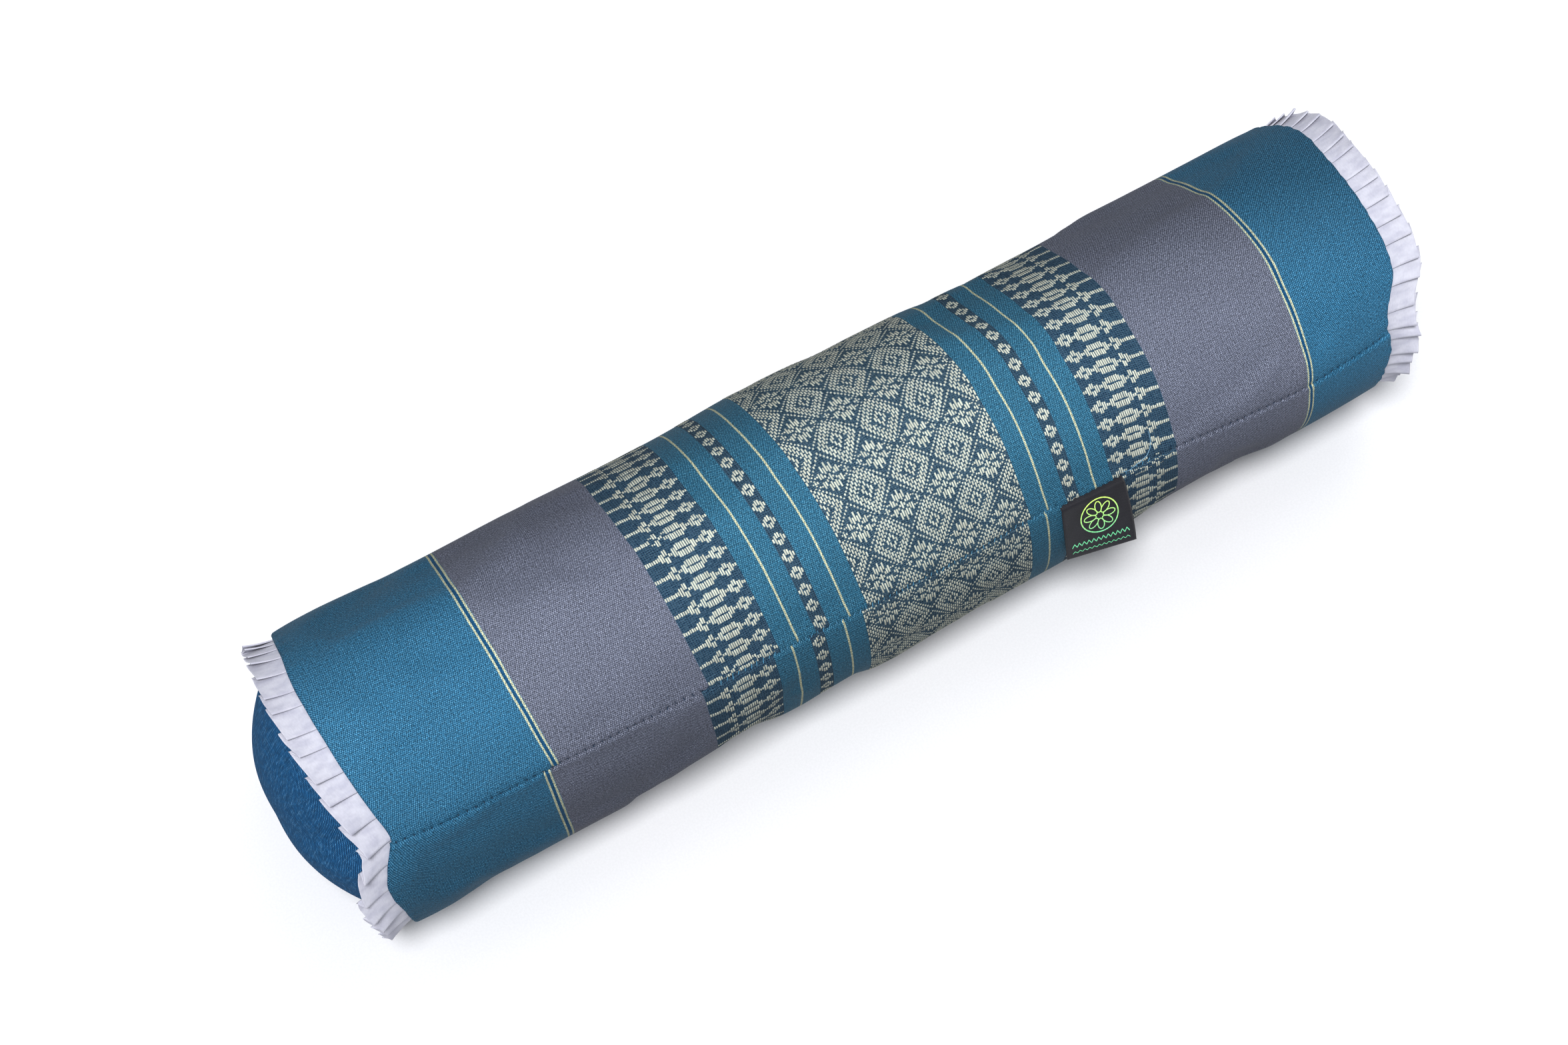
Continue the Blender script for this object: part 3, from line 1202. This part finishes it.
joint = frame["joints"][0]
hinge = np.array(joint["pos_m"]) / MM
to_right = -np.array(joint["axis"], float)
outward = np.array([0, hinge[1], hinge[2] - AXIS_HEIGHT])
outward = unit(outward - to_right * (outward @ to_right))
downward = np.cross(to_right, outward)
downward = downward if downward[2] < 0 else -downward


def on_label(across, down, lift=0.0):
    """Point on the label's front: millimetres right of its middle and below its hinge."""
    share = np.clip(down / LABEL_DROP, -0.2, 1.2)
    turn = np.arctan2(LABEL_RISE, LABEL_WIDTH) * np.sign(share) * np.abs(share) ** 1.15
    from_left = across + LABEL_WIDTH / 2
    sideways = -LABEL_WIDTH / 2 + from_left * np.cos(turn) - 0.6 * share
    ripple = 0.5 * np.sin(0.13 * across + 0.5) * np.sin(np.pi * np.clip(share, 0, 1))
    height = 1.3 - 4.6 * share ** 2 + from_left * np.sin(turn) + ripple
    root = np.clip(1 - (down - 2.2) / 2.0, 0, 1.9)
    height = height - 1.9 * root ** 2
    out = height + lift * np.cos(turn)
    return (hinge + np.multiply.outer(sideways - lift * np.sin(turn), to_right)
            + np.multiply.outer(down, downward) + np.multiply.outer(out, outward))


def label_cloth():
    """Two layers of black ribbon joined by the fold at the bottom, held in the seam at the top."""
    front = np.concatenate([[-1.6, -0.8, 0, 0.8, 1.6], np.linspace(2.8, LABEL_DROP - 0.6, 34)])
    turns = np.linspace(np.pi / 2, -np.pi / 2, 9)[1:-1]
    fold_down = LABEL_DROP - 0.6 + 0.6 * np.cos(turns)
    fold_lift = LAYER_GAP / 2 * (np.sin(turns) - 1)
    down = np.concatenate([front, fold_down, front[::-1]])
    back_lift = -LAYER_GAP * np.clip(np.concatenate([front, [LABEL_DROP]])[:-1] / 4.0, 0.25, 1)
    lift = np.concatenate([0 * front, fold_lift, back_lift[::-1]])
    across = np.linspace(-LABEL_WIDTH / 2, LABEL_WIDTH / 2, 33)
    rows, columns = np.meshgrid(down, across, indexing="ij")
    lifts = np.broadcast_to(lift[:, None], rows.shape)
    points = on_label(columns, rows, lifts)
    run = np.concatenate([[0], np.cumsum(np.hypot(np.diff(down), np.diff(lift)))])
    cloth = np.stack(np.broadcast_arrays(columns, run[:, None], 0.0), -1)
    obj = build_mesh("woven_label", points, grid_faces(*rows.shape), label_black,
                     {"cloth": cloth.reshape(-1, 3)})
    thicken(obj, LABEL_THICK)
    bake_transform(obj)
    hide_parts("label")


def label_line(across, down, radius, height):
    """One embroidered line on the label: a slightly flattened cord of satin stitches."""
    centre = on_label(across, down, np.full(len(across), height))
    forward = unit(np.gradient(centre, axis=0))
    up = unit(np.broadcast_to(outward, centre.shape) - forward * (forward @ outward)[:, None])
    side = np.cross(forward, up)
    turn = np.linspace(0, TAU, 9)
    ring = side[:, None] * np.cos(turn)[:, None] + 0.55 * up[:, None] * np.sin(turn)[:, None]
    ridges = 1 + 0.12 * np.cos(np.arange(len(across)) * 2.2)
    points = centre[:, None] + ring * (radius * ridges)[:, None, None]
    cloth = np.stack(np.broadcast_arrays(across[:, None], down[:, None], turn * 0.1), -1)
    return points, cloth


def label_ornament():
    """Plain geometric ornament: a rosette of eight petals in a ring, over a zigzag border."""
    lines = []
    across, down = ROSETTE_MIDDLE
    t = np.linspace(0, TAU, 40)
    reach = 5.1 + 3.2 * np.cos(t)
    swing = 1.7 * np.sin(t)
    for a in np.arange(8) * TAU / 8:
        lines.append((across + reach * np.cos(a) - swing * np.sin(a),
                      down + reach * np.sin(a) + swing * np.cos(a), 0.3))
    t = np.linspace(0, TAU, 70)
    lines.append((across + ROSETTE_RADIUS * np.cos(t), down + ROSETTE_RADIUS * np.sin(t), 0.36))
    zigzag = np.linspace(-15.0, 15.0, 121)
    for down, tall, fine in ((28.6, 2.3, 0.26), (33.6, 1.2, 0.18)):
        tooth = np.abs((zigzag / 2.5) % 1.0 - 0.5) * 2
        lines.append((zigzag, down + tall * tooth, fine))
    all_points, all_cloth, all_faces, count = [], [], [], 0
    for across, down, radius in lines:
        points, cloth = label_line(across, down, radius, LABEL_THICK / 2 + 0.05)
        faces = grid_faces(*points.shape[:2]) + count
        count += points.shape[0] * points.shape[1]
        all_points.append(points.reshape(-1, 3))
        all_cloth.append(cloth.reshape(-1, 3))
        all_faces.append(faces)
    obj = build_mesh("label_ornament", np.concatenate(all_points), np.concatenate(all_faces),
                     label_green, {"cloth": np.concatenate(all_cloth)})
    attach(obj, "label")
    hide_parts("label")


label_cloth()
label_ornament()


# ---------------------------------------------------------------- liner and filling, inside

def inner_ring(name, low, high, inset, material, node):
    """Closed-up tube of the liner or the filling, a little inside the cover."""
    xs = np.linspace(low, high, 40)
    angles = np.linspace(0, TAU, 97)
    angle, x = np.meshgrid(angles, xs, indexing="ij")
    dip = 0.25 * np.cos(9 * angle + 0.05 * x) * np.cos(0.11 * x)
    radius = plain_radius(x) + soft_waves(x, angle) - inset + dip
    points = around_axis(x, radius, angle)
    points[..., 2] = np.maximum(points[..., 2], FLOOR_REST + inset)
    cloth = np.stack([x, angle * RADIUS, 0 * x], -1)
    obj = build_mesh(name, points, grid_faces(*x.shape), material, {"cloth": cloth.reshape(-1, 3)})
    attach(obj, "bolster")
    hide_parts(node)


def inner_end(name, side, start, inset, material, node):
    """Rounded end of the liner or the filling."""
    rings = np.linspace(0.0, 1.0, 24)
    angles = np.linspace(0, TAU, 97)
    angle, ring = np.meshgrid(angles, rings, indexing="ij")
    rim = plain_radius(side * start) - inset
    tip = HALF + DOME_HEIGHT - inset
    x = side * (tip - (tip - start) * ring ** 2.45)
    radius = rim * ring
    points = around_axis(x, radius, angle)
    points[..., 2] = np.maximum(points[..., 2], FLOOR_REST + inset)
    cloth = np.stack([radius * np.cos(angle), radius * np.sin(angle), 0 * x], -1)
    faces = grid_faces(*x.shape)
    obj = build_mesh(name, points, faces[:, ::-1] if side > 0 else faces, material,
                     {"cloth": cloth.reshape(-1, 3)})
    merge_doubles(obj)
    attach(obj, "bolster")
    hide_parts(node)


thirds = np.linspace(-LINER_HALF, LINER_HALF, 4)
for number, part in enumerate(("left", "middle", "right")):
    inner_ring("liner_" + part, thirds[number], thirds[number + 1], LINER_INSET, liner_calico,
               "liner_tube")
    inner_ring("kapok_" + part, thirds[number], thirds[number + 1], CORE_INSET, kapok_fibre,
               "kapok_core")
for side, end in ((-1, "left"), (1, "right")):
    inner_end("liner_end_cloth_" + end, side, LINER_HALF, LINER_INSET, liner_calico,
              "liner_end_" + end)
    inner_end("kapok_end_" + end, side, LINER_HALF, CORE_INSET, kapok_fibre, "kapok_core")


# ---------------------------------------------------------------- floor, light and camera

def studio():
    """Pale floor, an even surround and two soft lights."""
    floor = bpy.data.meshes.new("floor")
    corners = [(x * FLOOR_HALF, y * FLOOR_HALF, 0) for x, y in ((-1, -1), (1, -1), (1, 1), (-1, 1))]
    floor.from_pydata(corners, [], [(0, 1, 2, 3)])
    floor.materials.append(floor_paper("floor_paper"))
    paper = bpy.data.objects.new("floor", floor)
    bpy.context.scene.collection.objects.link(paper)
    world = bpy.data.worlds.new("studio")
    world.use_nodes = True
    surround = world.node_tree.nodes["Background"]
    surround.inputs["Color"].default_value = (0.93, 0.96, 1.0, 1)
    surround.inputs["Strength"].default_value = WORLD_LIGHT
    bpy.context.scene.world = world
    for name, place, width, power in LIGHTS:
        light = bpy.data.lights.new(name, "AREA")
        light.shape = "DISK"
        light.size = width
        light.energy = power
        obj = bpy.data.objects.new(name, light)
        obj.location = place
        obj.rotation_euler = (-Vector(place)).to_track_quat("-Z", "Y").to_euler()
        bpy.context.scene.collection.objects.link(obj)


def camera():
    """Camera high over the front of the left half, aimed a little left of the roll's middle."""
    lens = bpy.data.cameras.new("camera")
    lens.sensor_width = 36.0
    lens.lens = LENS
    lens.clip_start = 0.05
    lens.clip_end = 60.0
    obj = bpy.data.objects.new("camera", lens)
    obj.location = CAMERA_PLACE
    obj.rotation_euler = (Vector(CAMERA_TARGET) - obj.location).to_track_quat("-Z", "Y").to_euler()
    bpy.context.scene.collection.objects.link(obj)
    bpy.context.scene.camera = obj


studio()
camera()
bpy.context.scene.view_settings.view_transform = "Standard"
bpy.context.scene.view_settings.gamma = 0.8
bpy.context.view_layer.update()
